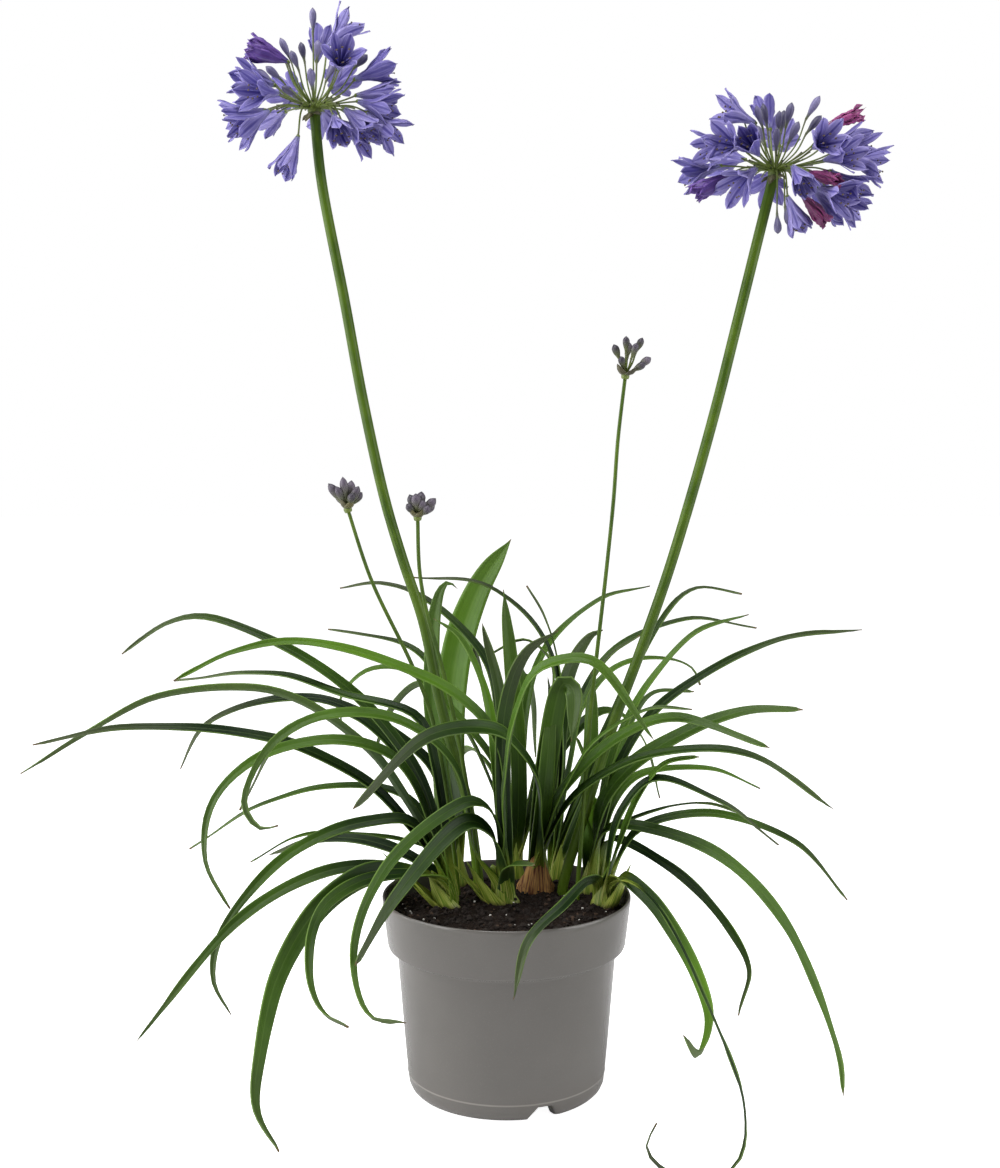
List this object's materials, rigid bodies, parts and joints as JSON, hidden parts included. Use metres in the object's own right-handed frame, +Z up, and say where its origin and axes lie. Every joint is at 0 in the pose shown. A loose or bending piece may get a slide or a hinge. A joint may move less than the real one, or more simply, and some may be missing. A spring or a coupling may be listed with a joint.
{
  "type": "potted agapanthus plant",
  "caption": "Agapanthus in a round nursery pot: strap-leaved shoots, tall stems with open umbels of violet trumpet florets, and shorter stems with closed bud heads.",
  "frame": {"origin": "middle of the pot's foot, on the surface that the pot stands on", "axes": "+Z up along the pot's axis, +X to the plant's right and -Y to its front"},
  "size_m": [0.6494, 0.5334, 0.8183],
  "materials": {
    "pot_plastic": "taupe grey moulded polypropylene, semi-matt",
    "soil": "dark crumbly potting mix with white perlite grains",
    "leaf": "waxy green strap leaf with a paler keel and yellow-green base",
    "flower_stem": "smooth matt green stem",
    "flower": "soft violet-blue petals with darker midribs",
    "bud": "grey-violet closed buds with olive bracts"
  },
  "bodies": {
    "root": {"nursery_pot": "pot_plastic", "potting_soil": "soil", "shoot_front_left": "leaf", "shoot_back_left": "leaf", "shoot_front_middle": "leaf", "shoot_middle": "leaf", "shoot_back_right": "leaf", "shoot_right": "leaf", "shoot_front_right": "leaf", "shoot_back": "leaf", "flower_stem_left_tall": "flower_stem", "flower_stem_right_tall": "flower_stem", "flower_stem_left_short": "flower_stem", "flower_stem_middle_short": "flower_stem", "flower_stem_right_short": "flower_stem", "umbel_left_tall": "flower", "umbel_right_tall": "flower", "bud_head_left_short": "bud", "bud_head_middle_short": "bud", "bud_head_right_short": "bud"}
  },
  "joints": []
}
